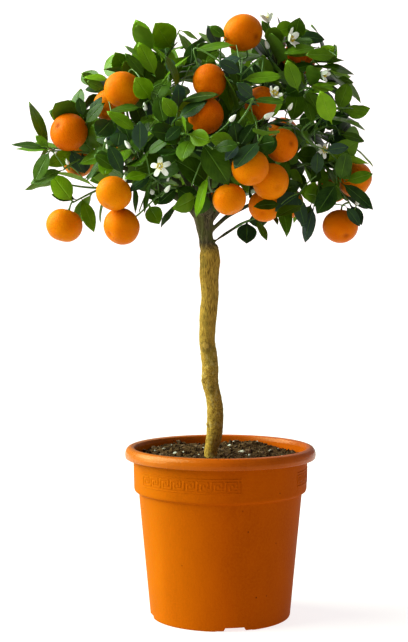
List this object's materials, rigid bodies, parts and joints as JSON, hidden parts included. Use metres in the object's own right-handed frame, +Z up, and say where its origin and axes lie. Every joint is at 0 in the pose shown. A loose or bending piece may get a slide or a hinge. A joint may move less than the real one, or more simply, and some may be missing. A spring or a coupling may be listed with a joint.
{
  "type": "potted clementine tree",
  "caption": "Small citrus tree with a graft-thickened trunk, leafy sprays, ripe clementines and white blossom, standing in a round terracotta-coloured pot with a relief band.",
  "frame": {"origin": "middle of the whole tree's bounding box, on the ground plane under the pot's foot; the pot's axis stands 31 mm to +X and 2 mm to -Y of it, because the crown leans that far the other way", "axes": "+Z up along the trunk, -Y towards the side that the picture shows, +X to its right"},
  "size_m": [0.4135, 0.3714, 0.6912],
  "materials": {
    "pot": "satin",
    "soil": "matte",
    "bark": "matte",
    "leaf": "satin",
    "peel": "satin",
    "petal": "satin"
  },
  "bodies": {
    "root": {"blossom_front": "petal", "blossom_middle": "petal", "blossom_right": "petal", "blossom_right_low": "petal", "blossom_top": "petal", "blossom_top_upright": "petal", "bud_left": "petal", "bud_low": "petal", "bud_middle": "petal", "fruit_back_left": "peel", "fruit_back_low": "peel", "fruit_back_right": "peel", "fruit_back_top": "peel", "fruit_far_left": "peel", "fruit_far_right": "peel", "fruit_front": "peel", "fruit_front_low": "peel", "fruit_front_under": "peel", "fruit_left_behind": "peel", "fruit_left_upper_behind": "peel", "fruit_low_behind": "peel", "fruit_low_far_left": "peel", "fruit_low_left": "peel", "fruit_low_left_under": "peel", "fruit_low_middle": "peel", "fruit_low_right": "peel", "fruit_middle": "peel", "fruit_middle_right": "peel", "fruit_right_behind": "peel", "fruit_right_front": "peel", "fruit_top": "peel", "fruit_upper_left": "peel", "fruit_upper_middle": "peel", "fruit_upper_right": "peel", "pot": "pot", "soil": "soil", "spray_back_left": "leaf", "spray_back_middle": "leaf", "spray_back_right": "leaf", "spray_back_top_left": "leaf", "spray_back_top_right": "leaf", "spray_far_left": "leaf", "spray_front_left": "leaf", "spray_front_low": "leaf", "spray_front_low_left": "leaf", "spray_front_mid": "leaf", "spray_front_right": "leaf", "spray_front_upper": "leaf", "spray_left_front": "leaf", "spray_left_low": "leaf", "spray_low_right": "leaf", "spray_low_twig": "leaf", "spray_right": "leaf", "spray_right_low": "leaf", "spray_right_upper": "leaf", "spray_top": "leaf", "spray_top_left": "leaf", "spray_top_right": "leaf", "spray_upper_left": "leaf", "trunk": "bark"}
  },
  "joints": []
}
